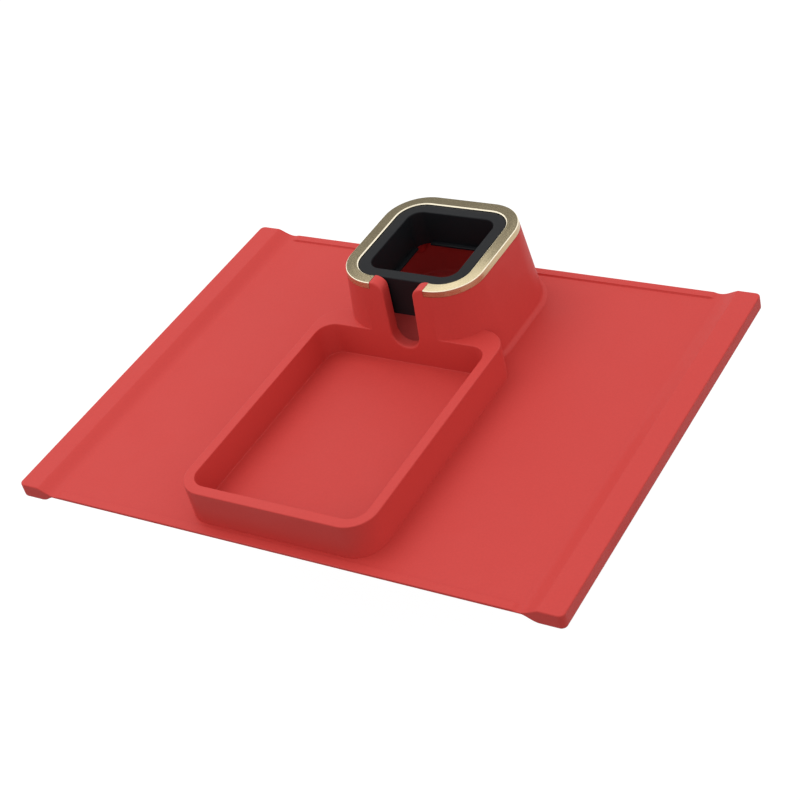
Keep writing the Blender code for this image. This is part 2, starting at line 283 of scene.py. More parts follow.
def solid_from_patches(name: str, patches: list[Array], mirror: bool = False) -> bpy.types.Object:
    """Closed solid from grids that share their edges; open ends are closed flat.

    Args:
        name: the object's name.
        patches: grids of points, each of shape (rows, columns, 3).
        mirror: whether X is negated.

    Returns:
        The object, welded and with its faces outward.
    """
    points, faces, first = [], [], 0
    for patch in patches:
        rows, columns = patch.shape[:2]
        points.append(patch.reshape(-1, 3))
        faces += (grid_faces(rows, columns, False, False) + first).tolist()
        first += rows * columns
    cloud = np.concatenate(points)
    if mirror:
        cloud = cloud * np.array([-1.0, 1.0, 1.0])
    return weld(mesh_object(name, cloud, faces))


def weld(piece: bpy.types.Object) -> bpy.types.Object:
    """Merges doubled points, closes open ends and turns every face outward."""
    bm = bmesh.new()
    bm.from_mesh(piece.data)
    bmesh.ops.remove_doubles(bm, verts=bm.verts, dist=WELD_REACH)
    rim = [edge for edge in bm.edges if edge.is_boundary]
    if rim:
        bmesh.ops.holes_fill(bm, edges=rim, sides=0)
    bmesh.ops.recalc_face_normals(bm, faces=bm.faces)
    bm.to_mesh(piece.data)
    bm.free()
    return piece


def combine(target: bpy.types.Object, tool: bpy.types.Object, operation: str) -> None:
    """Applies an exact Boolean of target with tool, and removes the tool.

    Faces that the tool leaves behind keep the tool's material when the target has it too.
    """
    if target.data.materials and not tool.data.materials:
        tool.data.materials.append(target.data.materials[0])
    cut = target.modifiers.new("combine", "BOOLEAN")
    cut.operation = operation
    cut.solver = "EXACT"
    cut.object = tool
    bpy.context.view_layer.update()
    evaluated = target.evaluated_get(bpy.context.evaluated_depsgraph_get())
    mesh = bpy.data.meshes.new_from_object(evaluated)
    target.modifiers.clear()
    target.data = mesh
    bpy.data.objects.remove(tool, do_unlink=True)


def block(name: str, low: Corner, high: Corner, edge: float = 0.0) -> bpy.types.Object:
    """A box between two corners, heights above the sheet, with its edges rounded.

    The outline turns by quarter circles of the edge's radius. The profile does the same
    at the foot and at the top, at offset -edge * (1 - sin t), with t from 0 to 90
    degrees, so that the rings close in on the corners' hubs.

    Args:
        name: the object's name.
        low: lowest corner.
        high: highest corner.
        edge: radius of every edge; 0 leaves them sharp.

    Returns:
        The box.
    """
    if edge == 0.0:
        outline = np.array([low[:2], (high[0], low[1]), high[:2], (low[0], high[1])])
        levels = np.array([(0.0, low[2]), (0.0, high[2])])
        return loft(name, (outline, np.zeros((4, 2))), levels)
    half_x, half_y = (high[0] - low[0]) / 2.0, (high[1] - low[1]) / 2.0
    outline, normals = rounded_rectangle(half_x, half_y, edge, (low[1] + high[1]) / 2.0)
    outline = outline + np.array([(low[0] + high[0]) / 2.0, 0.0])
    turn = np.linspace(0.0, math.pi / 2.0, EDGE_STEPS + 1)
    inset, rise = -edge * (1.0 - np.sin(turn)), edge * (1.0 - np.cos(turn))
    foot = np.stack([inset, low[2] + rise], axis=1)
    crown = np.stack([inset, high[2] - rise], axis=1)[::-1]
    return loft(name, (outline, normals), np.concatenate([foot, crown]))


def store_uv(piece: bpy.types.Object, along: Array, across: Array, wrap: float) -> None:
    """Writes a UV map in metres from each point's place along and across a path.

    Args:
        piece: an object whose points are numbered as the two arrays.
        along: distance along the path, for each point.
        across: distance round the section, for each point.
        wrap: length of the section, which a face that closes it adds back.
    """
    mesh = piece.data
    corners = np.zeros(len(mesh.loops), dtype=np.int32)
    mesh.loops.foreach_get("vertex_index", corners)
    coordinates = np.stack([along[corners], across[corners]], axis=1)
    starts = np.zeros(len(mesh.polygons), dtype=np.int32)
    totals = np.zeros(len(mesh.polygons), dtype=np.int32)
    mesh.polygons.foreach_get("loop_start", starts)
    mesh.polygons.foreach_get("loop_total", totals)
    quads = starts[totals == 4][:, None] + np.arange(4)[None, :]
    values = coordinates[quads, 1]
    jump = (values.max(axis=1) - values.min(axis=1)) > wrap / 2.0
    carried = np.where(values < wrap / 2.0, values + wrap, values)
    coordinates[quads, 1] = np.where(jump[:, None], carried, values)
    layer = mesh.uv_layers.new(name=UV_NAME)
    layer.data.foreach_set("uv", coordinates.astype(np.float32).ravel())


def dress(piece: bpy.types.Object, material: bpy.types.Material, sharp: float = SHARP) -> None:
    """Shades a piece smooth up to an angle, keeps its flats flat and sets its material."""
    mesh = piece.data
    mesh.name = piece.name
    if not mesh.materials:
        mesh.materials.append(material)
    mesh.shade_smooth()
    mesh.set_sharp_from_angle(angle=sharp)
    flats = piece.modifiers.new("flats", "WEIGHTED_NORMAL")
    flats.mode = "FACE_AREA"
    flats.weight = 100
    flats.keep_sharp = True


# ---------------------------------------------------------------------------
# Finishes


class Graph:
    """A node tree with short calls for adding nodes and joining sockets."""

    def __init__(self, tree: bpy.types.NodeTree, source: Any = None, sink: Any = None) -> None:
        """Keeps the tree and, in a group, its input and output nodes."""
        self.tree = tree
        self.source = source
        self.sink = sink

    def add(self, kind: str, settings: dict[str, Any] | None = None, **inputs: Any) -> Any:
        """Adds a node.

        Args:
            kind: the node's type name, without the word ShaderNode.
            settings: values of the node's own properties.
            **inputs: value or source socket of inputs, underscores standing for spaces.

        Returns:
            The node.
        """
        node = self.tree.nodes.new("ShaderNode" + kind)
        for name, value in (settings or {}).items():
            setattr(node, name, value)
        for name, value in inputs.items():
            self.join(value, node.inputs[name.replace("_", " ")])
        return node

    def join(self, value: Any, socket: bpy.types.NodeSocket) -> None:
        """Sets a socket to a value, or links it from another socket."""
        if isinstance(value, bpy.types.NodeSocket):
            self.tree.links.new(value, socket)
        else:
            socket.default_value = value

    def math(self, operation: str, a: Any, b: Any = 0.0) -> Any:
        """Output of a Math node on two values or sockets."""
        node = self.tree.nodes.new("ShaderNodeMath")
        node.operation = operation
        self.join(a, node.inputs[0])
        self.join(b, node.inputs[1])
        return node.outputs[0]

    def spread(self, value: Any, low: float, high: float, to_low: float, to_high: float) -> Any:
        """Output of a Map Range node that clamps."""
        node = self.tree.nodes.new("ShaderNodeMapRange")
        for slot, item in zip(node.inputs, (value, low, high, to_low, to_high)):
            self.join(item, slot)
        return node.outputs[0]


def new_group(name: str, inputs: list[tuple[str, str, Any]], output: tuple[str, str]) -> Graph:
    """An empty shader node group with named sockets.

    Args:
        name: the group's name.
        inputs: name, kind and default of each input socket.
        output: name and kind of the output socket.

    Returns:
        The group's graph, with its input node as `source` and output node as `sink`.
    """
    tree = bpy.data.node_groups.new(name, "ShaderNodeTree")
    for label, kind, default in inputs:
        socket = tree.interface.new_socket(label, in_out="INPUT", socket_type="NodeSocket" + kind)
        if default is not None:
            socket.default_value = default
    tree.interface.new_socket(output[0], in_out="OUTPUT", socket_type="NodeSocket" + output[1])
    return Graph(tree, tree.nodes.new("NodeGroupInput"), tree.nodes.new("NodeGroupOutput"))


class Effects:
    """The surface effects that more than one finish uses, each one node group."""

    COARSE_SCALE, COARSE_SHARE = 0.31, 0.6  # second octave of the grain, against the first
    FINE_SCALE = 23.0  # fine clouds against large ones
    LARGE_SHARE, FINE_SHARE = 0.2, 0.8
    CLOUD_GAIN = 4.0  # noise keeps to a quarter of its range, so this brings it to full swing
    PATCH_RANGE = (0.42, 0.62)  # noise values between which a smudge fades in
    SPECK_RANGE = (0.02, 0.10)  # cell distances between which a speck fades out
    DUSTY_SCALE, DUSTY_RANGE = 40.0, (0.50, 0.70)  # patches where the dust gathers

    def __init__(self) -> None:
        """Builds every group once."""
        self.grain = self.build_grain()
        self.mottle = self.build_mottle()
        self.handling = self.build_handling()
        self.brushing = self.build_brushing()
        self.dust = self.build_dust()

    def build_grain(self) -> bpy.types.NodeTree:
        """Spark-eroded mould texture: two octaves of noise, as a height in metres."""
        sockets = [("Vector", "Vector", None), ("Scale", "Float", 1800.0), ("Depth", "Float", 1e-5)]
        g = new_group("mould_grain", sockets, ("Height", "Float"))
        vector, scale, depth = (g.source.outputs[name] for name in ("Vector", "Scale", "Depth"))
        fine = g.add("TexNoise", Vector=vector, Scale=scale, Detail=2.0, Roughness=0.6)
        coarse_scale = g.math("MULTIPLY", scale, self.COARSE_SCALE)
        coarse = g.add("TexNoise", Vector=vector, Scale=coarse_scale, Detail=1.0)
        faint = g.math("MULTIPLY", coarse.outputs[0], self.COARSE_SHARE)
        both = g.math("ADD", fine.outputs[0], faint)
        g.join(g.math("MULTIPLY", both, depth), g.sink.inputs["Height"])
        return g.tree

    def build_mottle(self) -> bpy.types.NodeTree:
        """Cloudy colour variation: the colour times 1 plus or minus an amount."""
        sockets = [("Vector", "Vector", None), ("Color", "Color", None)]
        sockets += [("Scale", "Float", 25.0), ("Amount", "Float", 0.04)]
        g = new_group("cloudy_colour", sockets, ("Color", "Color"))
        source = g.source.outputs
        large = g.add("TexNoise", Vector=source["Vector"], Scale=source["Scale"], Detail=3.0)
        fine_scale = g.math("MULTIPLY", source["Scale"], self.FINE_SCALE)
        fine = g.add("TexNoise", Vector=source["Vector"], Scale=fine_scale, Detail=1.0)
        shares = ((large, self.LARGE_SHARE), (fine, self.FINE_SHARE))
        parts = [g.math("MULTIPLY", noise.outputs[0], share) for noise, share in shares]
        blend = g.math("SUBTRACT", g.math("ADD", *parts), 0.5)
        swing = g.math("MULTIPLY", blend, g.math("MULTIPLY", source["Amount"], self.CLOUD_GAIN))
        factor = g.math("ADD", swing, 1.0)
        scaled = g.add("VectorMath", {"operation": "SCALE"}, Scale=factor)
        g.join(source["Color"], scaled.inputs[0])
        g.join(scaled.outputs[0], g.sink.inputs["Color"])
        return g.tree

    def build_handling(self) -> bpy.types.NodeTree:
        """Faint smudges from handling: soft patches that change the roughness."""
        sockets = [("Vector", "Vector", None), ("Roughness", "Float", 0.5)]
        sockets += [("Scale", "Float", 30.0), ("Amount", "Float", 0.06)]
        g = new_group("handling_marks", sockets, ("Roughness", "Float"))
        source = g.source.outputs
        noise = g.add(
            "TexNoise", Vector=source["Vector"], Scale=source["Scale"], Detail=4.0, Distortion=0.6
        )
        patch = g.spread(noise.outputs[0], *self.PATCH_RANGE, -1.0, 1.0)
        change = g.math("MULTIPLY", patch, source["Amount"])
        g.join(g.math("ADD", source["Roughness"], change), g.sink.inputs["Roughness"])
        return g.tree

    def build_brushing(self) -> bpy.types.NodeTree:
        """Brushed streaks: noise stretched along the vector's first axis, as a height."""
        sockets = [("Vector", "Vector", None), ("Scale", "Float", 9000.0), ("Stretch", "Float", 0.01)]
        g = new_group("brushed_streaks", sockets, ("Height", "Float"))
        source = g.source.outputs
        factors = g.add("CombineXYZ", Y=1.0, Z=1.0)
        g.join(source["Stretch"], factors.inputs["X"])
        stretched = g.add("VectorMath", {"operation": "MULTIPLY"})
        g.join(source["Vector"], stretched.inputs[0])
        g.join(factors.outputs[0], stretched.inputs[1])
        noise = g.add("TexNoise", Vector=stretched.outputs[0], Scale=source["Scale"], Detail=2.0)
        g.join(noise.outputs[0], g.sink.inputs["Height"])
        return g.tree

    def build_dust(self) -> bpy.types.NodeTree:
        """Sparse pale specks: the middles of fine cells, only in patches, as a mask."""
        sockets = [("Vector", "Vector", None), ("Scale", "Float", 600.0), ("Amount", "Float", 0.3)]
        g = new_group("dust_specks", sockets, ("Mask", "Float"))
        source = g.source.outputs
        cells = g.add("TexVoronoi", Vector=source["Vector"], Scale=source["Scale"])
        speck = g.spread(cells.outputs["Distance"], *self.SPECK_RANGE, 1.0, 0.0)
        patchy = g.add("TexNoise", Vector=source["Vector"], Scale=self.DUSTY_SCALE, Detail=2.0)
        where = g.spread(patchy.outputs[0], *self.DUSTY_RANGE, 0.0, 1.0)
        mask = g.math("MULTIPLY", g.math("MULTIPLY", speck, where), source["Amount"])
        g.join(mask, g.sink.inputs["Mask"])
        return g.tree


@dataclass(frozen=True)
class Finish:
    """What every finish has: its colour, roughness and grain."""

    name: str
    colour: Colour
    roughness: float
    metallic: float = 0.0
    specular: float = 0.5
    grain_scale: float = 1800.0
    grain_depth: float = 8e-6
    mottle: float = 0.02
    marks: float = 0.03

    def start(self, effects: Effects) -> tuple[bpy.types.Material, Graph, Any, Any]:
        """A material with clouded colour and marked roughness.

        Args:
            effects: the shared node groups.

        Returns:
            The material, its graph, its Principled shader and the coordinates' socket.
        """
        material = bpy.data.materials.new(self.name)
        material.use_nodes = True
        graph = Graph(material.node_tree)
        shader = material.node_tree.nodes["Principled BSDF"]
        shader.inputs["Metallic"].default_value = self.metallic
        shader.inputs["Specular IOR Level"].default_value = self.specular
        where = graph.add("TexCoord").outputs["Object"]
        colour = self.place(graph, effects.mottle, Vector=where, Amount=self.mottle)
        graph.join((*self.colour, 1.0), colour.inputs["Color"])
        graph.join(colour.outputs[0], shader.inputs["Base Color"])
        marks = self.place(graph, effects.handling, Vector=where, Amount=self.marks)
        graph.join(self.roughness, marks.inputs["Roughness"])
        graph.join(marks.outputs[0], shader.inputs["Roughness"])
        return material, graph, shader, where

    def place(self, graph: Graph, tree: bpy.types.NodeTree, **inputs: Any) -> Any:
        """Places a shared group in a material, with its own values."""
        node = graph.tree.nodes.new("ShaderNodeGroup")
        node.node_tree = tree
        for name, value in inputs.items():
            graph.join(value, node.inputs[name])
        return node

    def emboss(self, graph: Graph, shader: Any, height: Any) -> None:
        """Feeds a height in metres through a Bump node to the shader's normal."""
        bump = graph.add("Bump", Height=height, Distance=1.0, Strength=1.0)
        graph.join(bump.outputs[0], shader.inputs["Normal"])

    def add_grain(self, effects: Effects, graph: Graph, shader: Any, where: Any) -> None:
        """Adds the mould's texture."""
        values = {"Vector": where, "Scale": self.grain_scale, "Depth": self.grain_depth}
        self.emboss(graph, shader, self.place(graph, effects.grain, **values).outputs[0])

    def make(self, effects: Effects) -> bpy.types.Material:
        """Builds the material: clouded colour, handling marks and mould grain."""
        material, *parts = self.start(effects)
        self.add_grain(effects, *parts)
        return material


@dataclass(frozen=True)
class DustedFinish(Finish):
    """A dark moulding, on which a little dust shows."""

    dust_colour: Colour = (0.10, 0.10, 0.10)
    dust: float = 0.25

    def make(self, effects: Effects) -> bpy.types.Material:
        """Builds the material: the moulding, with pale specks over its colour."""
        material, graph, shader, where = self.start(effects)
        clouded = shader.inputs["Base Color"].links[0].from_socket
        specks = self.place(graph, effects.dust, Vector=where, Amount=self.dust)
        mix = graph.add("Mix", {"data_type": "RGBA"})
        graph.join(specks.outputs[0], mix.inputs["Factor"])
        graph.join(clouded, mix.inputs["A"])
        graph.join((*self.dust_colour, 1.0), mix.inputs["B"])
        graph.join(mix.outputs["Result"], shader.inputs["Base Color"])
        self.add_grain(effects, graph, shader, where)
        return material


@dataclass(frozen=True)
class BrushedFinish(Finish):
    """A metal brushed along a direction of its coordinates."""

    ROUGHNESS_SWING = 0.05  # how far the streaks change the roughness
    STREAK_RANGE = (0.3, 0.7)  # noise values over which they do

    streak_scale: float = 6000.0
    streak_stretch: float = 0.01
    streak_depth: float = 4e-6
    follows_path: bool = False

    def make(self, effects: Effects) -> bpy.types.Material:
        """Builds the material: streaks in the normal and, faintly, in the roughness."""
        material, graph, shader, where = self.start(effects)
        if self.follows_path:
            where = graph.add("UVMap", {"uv_map": UV_NAME}).outputs[0]
        values = {"Vector": where, "Scale": self.streak_scale, "Stretch": self.streak_stretch}
        streaks = self.place(graph, effects.brushing, **values)
        marked = shader.inputs["Roughness"].links[0].from_socket
        swing = self.ROUGHNESS_SWING
        change = graph.spread(streaks.outputs[0], *self.STREAK_RANGE, -swing, swing)
        graph.join(graph.math("ADD", marked, change), shader.inputs["Roughness"])
        height = graph.math("MULTIPLY", streaks.outputs[0], self.streak_depth)
        self.emboss(graph, shader, height)
        return material


class Wardrobe:
    """Every material of the object, made once."""

    def __init__(self) -> None:
        """Builds the shared groups and the materials."""
        effects = Effects()
        soft = {"mottle": 0.03}
        fine = {"marks": 0.02, "streak_depth": 0.5e-6, "follows_path": True}
        brushed = {"marks": 0.01, "streak_depth": 1.2e-6, "follows_path": True}
        brushed |= {"streak_scale": 5000.0, "streak_stretch": 0.004}
        plain = {"streak_scale": 2500.0, "streak_stretch": 0.02}
        red = Finish(
            "red_silicone", (0.565, 0.0480, 0.0410), 0.56, specular=0.25, marks=0.02, **soft
        )
        # painted shade: a darker, duller copy of the red silicone, for the faces that the well cutter
        # leaves inside the tower
        inside = Finish("red_silicone_painted_shade", (0.53, 0.050, 0.046), 0.62, specular=0.20, **soft)
        gold = BrushedFinish("champagne_anodised", (0.188, 0.156, 0.093), 0.13, 1.0, **brushed)
        # painted highlight: the trim's chamfers are a pale cream, mostly not metallic, so they show
        # as bright lines along the plate's edges under any light
        cut = BrushedFinish("cream_painted_highlight", (0.95, 0.86, 0.66), 0.35, 0.30, **fine)
        # painted light: the skirt is a paler copy of the plate's champagne gold, so the ring's outer
        # side reads lighter than its plate
        skirt = BrushedFinish("champagne_skirt_painted_light", (0.54, 0.41, 0.24), 0.28, 0.90, **fine)
        black = DustedFinish("black_moulding", (0.0100, 0.0108, 0.0125), 0.40, specular=0.12)
        steel = BrushedFinish("plain_steel", (0.48, 0.49, 0.50), 0.38, 1.0, **plain)
        self.silicone = red.make(effects)
        self.inside = inside.make(effects)
        self.gold = gold.make(effects)
        self.cut_edge = cut.make(effects)
        self.gold_side = skirt.make(effects)
        self.black = black.make(effects)
        self.steel = steel.make(effects)


# ---------------------------------------------------------------------------
# Pieces


@dataclass
class Sheet:
    """The mat's flat sheet, its edge beads and its hems, as heights over the plan."""

    half_x: float = CAD_BOX[1].x
    half_y: float = CAD_BOX[1].y
    seam_x: float = 0.0940  # where the centre's skin meets a wing's skin
    bead_height: float = 0.0010
    bead_width: float = 0.0068
    bead_slope: float = 0.0005
    bead_end: tuple[float, float] = (0.2140, 0.2195)
    groove: tuple[float, float] = (0.0007, 0.0006)  # depth and half-width at the bead's foot
    hem_ramp: tuple[float, float] = (0.2205, 0.2370)  # of the top face
    under_ramp: tuple[float, float] = (0.2235, 0.2368)  # of the underside
    hem_top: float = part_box("right_wing")[1].z - MAT_TOP
    hem_bottom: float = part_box("right_wing")[0].z - MAT_TOP
    sheet_round: float = 0.0006
    top_round: float = 0.0012
    bottom_round: float = 0.0030
    corner: float = 0.0050
    side_steps: int = 5
    hollow: float = 0.65  # share of the quarter wave in the hem's rise, beside the S
    fullness: float = 0.6  # the same in the underside's drop
    row_steps: tuple[int, int, int, int] = (22, 9, 6, 3)  # field, groove, slope and bead

    def hem_share(self, x: Array) -> Array:
        """Share of the hem's rise: (1 - h) ease(t) + h (1 - cos(pi t / 2)), h the hollow."""
        low, high = self.hem_ramp
        share = np.clip((x - low) / (high - low), 0.0, 1.0)
        wave = 1.0 - np.cos(np.pi / 2.0 * share)
        return (1.0 - self.hollow) * ease(share) + self.hollow * wave

    def under_share(self, x: Array) -> Array:
        """Share of the underside's drop: (1 - f) ease(t) + f sin(pi t / 2), f the fullness."""
        low, high = self.under_ramp
        share = np.clip((x - low) / (high - low), 0.0, 1.0)
        wave = np.sin(np.pi / 2.0 * share)
        return (1.0 - self.fullness) * ease(share) + self.fullness * wave

    def top(self, x: Array, y: Array) -> Array:
        """Height of the top face.

        It is the bead's step, less the cosine groove at the foot of the back step, both
        faded out towards the hem, plus the hem's rise.
        """
        foot = self.half_y - self.bead_width
        bead = ease((np.abs(y) - foot + self.bead_slope) / self.bead_slope)
        low, high = self.bead_end
        fade = 1.0 - ease((x - low) / (high - low))
        depth, reach = self.groove
        away = np.clip((np.abs(y) - foot + self.bead_slope + reach) / reach, -1.0, 1.0)
        depth = np.where(y > 0.0, depth, 0.0)
        step = self.bead_height * bead - depth * (1.0 + np.cos(np.pi * away)) / 2.0
        return step * fade + self.hem_top * self.hem_share(x)

    def bottom(self, x: Array) -> Array:
        """Height of the underside: the sheet's lower face, dropping to the hem's."""
        return -SHEET + (self.hem_bottom + SHEET) * self.under_share(x)

    def rows(self) -> Array:
        """Stations across the mat, closer together at the beads' slopes."""
        for_inner, for_groove, for_slope, for_outer = self.row_steps
        foot = self.half_y - self.bead_width
        slope = foot - self.bead_slope * np.linspace(0.0, 1.0, for_slope)
        reach = self.groove[1]
        groove = foot - self.bead_slope - reach * np.linspace(0.0, 2.0, for_groove)
        inner = np.linspace(0.0, groove[-1] - 2.0 * reach, for_inner)
        last = self.half_y - 2.0 * self.sheet_round
        outer = np.linspace(foot + self.bead_slope, last, for_outer)
        half = np.unique(np.concatenate([inner, groove, slope, outer, [self.half_y]]).round(8))
        return np.concatenate([-half[:0:-1], half])

    def side_strip(self, hubs: Array, normals: Array) -> Array:
        """Grid of the side wall along a perimeter.

        It turns out of the top face by a quarter circle, runs straight down, and turns
        under by a quarter circle of the lower radius. Both radii grow from the sheet to
        the hem.

        Args:
            hubs: (x, y) rows, the perimeter moved in by the plan corner's radius.
            normals: outward unit normals.

        Returns:
            Points of shape (rows, stations, 3), from the top face to the underside.
        """
        upper, lower = self.edge_radii(hubs[:, 0])
        top = self.top(hubs[:, 0], np.full(len(hubs), self.half_y))
        bottom = self.bottom(hubs[:, 0])
        turn = np.linspace(0.0, math.pi / 2.0, self.side_steps + 1)[:, None]
        reach = np.concatenate([-upper * (1 - np.sin(turn)), -lower * (1 - np.cos(turn))])
        height = np.concatenate(
            [top - upper * (1 - np.cos(turn)), bottom + lower * (1 - np.sin(turn))]
        )
        plan = hubs[None, :, :] + (self.corner + reach)[:, :, None] * normals[None, :, :]
        return np.concatenate([plan, (height + MAT_TOP)[:, :, None]], axis=-1)

    def face(self, hub_x: Array, angles: Array, radius: Array, is_top: bool) -> Array:
        """Grid of the top face or the underside.

        Column i lies at x = hub_x[i] + reach * sin(angle[i]), and its rows run over
        y = +-(hub_y + reach * cos(angle[i])), where reach is the plan corner's radius
        less the edge's radius. The columns' ends so follow the rounded outline.

        Args:
            hub_x: hub of each column.
            angles: turn of each column round the plan corner, 0 before it.
            radius: edge radius at each column.
            is_top: top face or underside.

        Returns:
            Points of shape (columns, rows, 3).
        """
        reach = self.corner - radius
        x = hub_x + reach * np.sin(angles)
        extent = self.half_y - self.corner + reach * np.cos(angles)
        share = self.rows() / self.half_y
        y = extent[:, None] * share[None, :]
        hub_grid = np.broadcast_to(hub_x[:, None], y.shape)
        # the bead keeps its width, so its height is read at the unscaled row
        row_grid = np.broadcast_to(self.rows()[None, :], y.shape)
        height = self.top(hub_grid, row_grid) if is_top else self.bottom(hub_grid)
        x_grid = np.broadcast_to(x[:, None], y.shape)
        return np.stack([x_grid, y, height + MAT_TOP], axis=-1)

    def edge_radii(self, hub_x: Array) -> tuple[Array, Array]:
        """Upper and lower edge radius at each column."""
        top_growth = self.top_round - self.sheet_round
        bottom_growth = self.bottom_round - self.sheet_round
        upper = self.sheet_round + top_growth * self.hem_share(hub_x)
        lower = self.sheet_round + bottom_growth * self.under_share(hub_x)
        return upper, lower

    def strip_between(self, columns: Array, sign: float) -> Array:
        """Side wall along the front (-1) or the back (1) edge, over straight columns."""
        hubs = np.stack([columns, np.full(len(columns), sign * (self.half_y - self.corner))], axis=1)
        normals = np.broadcast_to(np.array([0.0, sign]), hubs.shape)
        return self.side_strip(hubs, normals)


@dataclass
class CentreMoulding:
    """Centre panel, tray and cup tower: one silicone moulding."""

    sheet: Sheet
    wardrobe: Wardrobe
    tower_y: float = (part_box("cup_rim_trim")[0].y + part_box("cup_rim_trim")[1].y) / 2.0
    top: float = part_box("cup_rim_trim")[1].z - MAT_TOP
    half: float = 0.0650
    corner: float = 0.0364
    draft: float = 0.104
    wall: float = 0.0112
    flare: float = 0.0052  # radius of the tower's concave foot
    flare_reach: float = 1.2  # how far the foot runs out over the sheet, in flare radii
    flare_steps: int = 12
    crown: float = 0.0009  # rounding of the tower's and the tray's top edges
    land: float = 0.0036  # flat kept inside a rounded top edge, where a cut follows
    bury: float = 0.0002  # how far the flare's toe dips into the sheet, so that they join
    tray_half_x: float = 0.0906
    tray_y: tuple[float, float] = (-0.1829, 0.0643)
    tray_corner: float = 0.0245
    rim: float = 0.0324
    pocket_half_x: float = 0.0815
    pocket_y: tuple[float, float] = (-0.1732, 0.04155)
    pocket_corner: float = 0.0150
    floor: float = 0.0015
    floor_round: float = 0.0006
    tower_cut: tuple[float, float] = (0.00002, 0.0005)  # in from the pocket's wall, under its floor
    slot_half: tuple[float, float] = (0.0136, 0.0146)
    slot_foot: float = 0.0325
    slot_shoulder: float = 0.0087
    slot_curl: float = 97.0  # degrees at which the shoulder's curl ends, from the left
    slot_steps: int = 12
    slot_round: float = 0.0018
    slot_bevel: tuple[float, float, int] = (78.0, 0.3, 9)  # degrees, extra opening, stations
    slot_inner: float = 0.4  # rounding at the well's side, as a share of the front's
    well_round: float = 0.0015
    well_land: float = 0.0040
    bracket_offset: float = 0.0485
    bracket_radius: float = 0.0055
    bracket_tail: float = 0.03  # how far its flanks run out into the wall
    bracket_depth: float = 0.0160
    bracket_slide: float = 0.0120
    bracket_rings: int = 5
    bracket_top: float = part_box("cup_insert")[0].z - MAT_TOP - GAP
    mouth: tuple[float, float] = (0.0538, 0.0233)
    seat_drop: tuple[float, float, float] = (0.0057, 0.0015, 0.0045)  # skirt, plate, inner lip
    seat_in: tuple[float, float] = (0.0015, 0.0010)  # skirt and inner lip thickness
    bridge: float = 0.0264 - GAP
    piece: bpy.types.Object = field(init=False, default=None)

    def outline(self) -> tuple[Array, Array]:
        """The tower's outline at its top, with its normals."""
        return rounded_rectangle(self.half, self.half, self.corner, self.tower_y)

    def lean(self, height: Array | float) -> Array | float:
        """How far the tower's wall stands outside its top outline at a height."""
        return self.draft * (self.top - height)

    def panel(self) -> bpy.types.Object:
        """The thin sheet between the two seams, with its front and back beads."""
        columns = np.array([-self.sheet.seam_x, self.sheet.seam_x])
        upper, lower = self.sheet.edge_radii(columns)
        still = np.zeros(2)
        patches = [
            self.sheet.face(columns, still, upper, True),
            self.sheet.face(columns, still, lower, False),
        ]
        patches += [self.sheet.strip_between(columns, sign) for sign in (-1.0, 1.0)]
        return solid_from_patches("centre_moulding", patches)

    def tower(self) -> bpy.types.Object:
        """Tower: a concave flare, leaning walls and a rounded top edge."""
        corners = [
            (self.lean(0.0) + self.flare_reach * self.flare, -self.bury, 0.0),
            (self.lean(0.0), 0.0, self.flare),
            (0.0, self.top, self.crown),
            (-self.land, self.top, 0.0),
        ]
        profile = rounded_profile(corners, self.flare_steps)
        foot = np.array([[profile[0, 0], -SHEET / 2.0]])
        return loft("tower", self.outline(), np.concatenate([foot, profile]))

    def between(
        self, half_x: float, y_range: tuple[float, float], corner: float
    ) -> tuple[Array, Array]:
        """Outline and normals of a rounded rectangle given by its front and back edge."""
        half_y = (y_range[1] - y_range[0]) / 2.0
        return rounded_rectangle(half_x, half_y, corner, sum(y_range) / 2.0)

    def tray(self) -> bpy.types.Object:
        """Tray block, with a rounded rim edge."""
        outline = self.between(self.tray_half_x, self.tray_y, self.tray_corner)
        corners = [(0.0, -SHEET / 2.0, 0.0), (0.0, self.rim, self.crown), (-self.land, self.rim, 0.0)]
        return loft("tray", outline, rounded_profile(corners))

    def pocket(self, flared: bool) -> bpy.types.Object:
        """Cutter of the tray's pocket.

        Args:
            flared: whether it opens outwards at the rim, which rounds the rim's inner
                edge; the tower's wall is cut by the straight one.

        Returns:
            The cutter.
        """
        outline = self.between(self.pocket_half_x, self.pocket_y, self.pocket_corner)
        if not flared:
            inset, drop = self.tower_cut
            walls = np.array([(-inset, self.floor - drop), (-inset, self.rim + CLEAR)])
            return loft("pocket", outline, walls)
        mouth = 3.0 * self.crown
        corners = [(-4.0 * self.floor_round, self.floor, 0.0)]
        corners += [(0.0, self.floor, self.floor_round), (0.0, self.rim, self.crown)]
        corners += [(mouth, self.rim + self.bury, 0.0)]
        above = np.array([[mouth, self.rim + CLEAR]])
        return loft("pocket", outline, np.concatenate([rounded_profile(corners), above]))

    def bracket(self, side_x: float, side_y: float) -> bpy.types.Object:
        """One of the brackets in the well's corners that the sleeve stands on.

        Its plan is a half circle with straight flanks. At a share d of its depth it has
        slid outwards by the slide times d squared, so it tapers away into the wall.
        """
        offset = self.bracket_offset
        hub = np.array([side_x * offset, self.tower_y + side_y * offset])
        out = np.array([side_x, side_y]) / math.sqrt(2.0)
        aside = np.array([-out[1], out[0]])
        angles = np.linspace(0.0, math.pi, 2 * ARC_STEPS + 1)[:, None]
        nose = hub + self.bracket_radius * (np.cos(angles) * aside - np.sin(angles) * out)
        plan = np.concatenate([nose, nose[[-1, 0]] + self.bracket_tail * out])
        depth = np.linspace(1.0, 0.0, self.bracket_rings)
        rings = plan[None, :, :] + self.bracket_slide * depth[:, None, None] ** 2 * out
        heights = self.bracket_top - self.bracket_depth * depth
        return solid_from_rings("bracket", lifted(rings, heights))

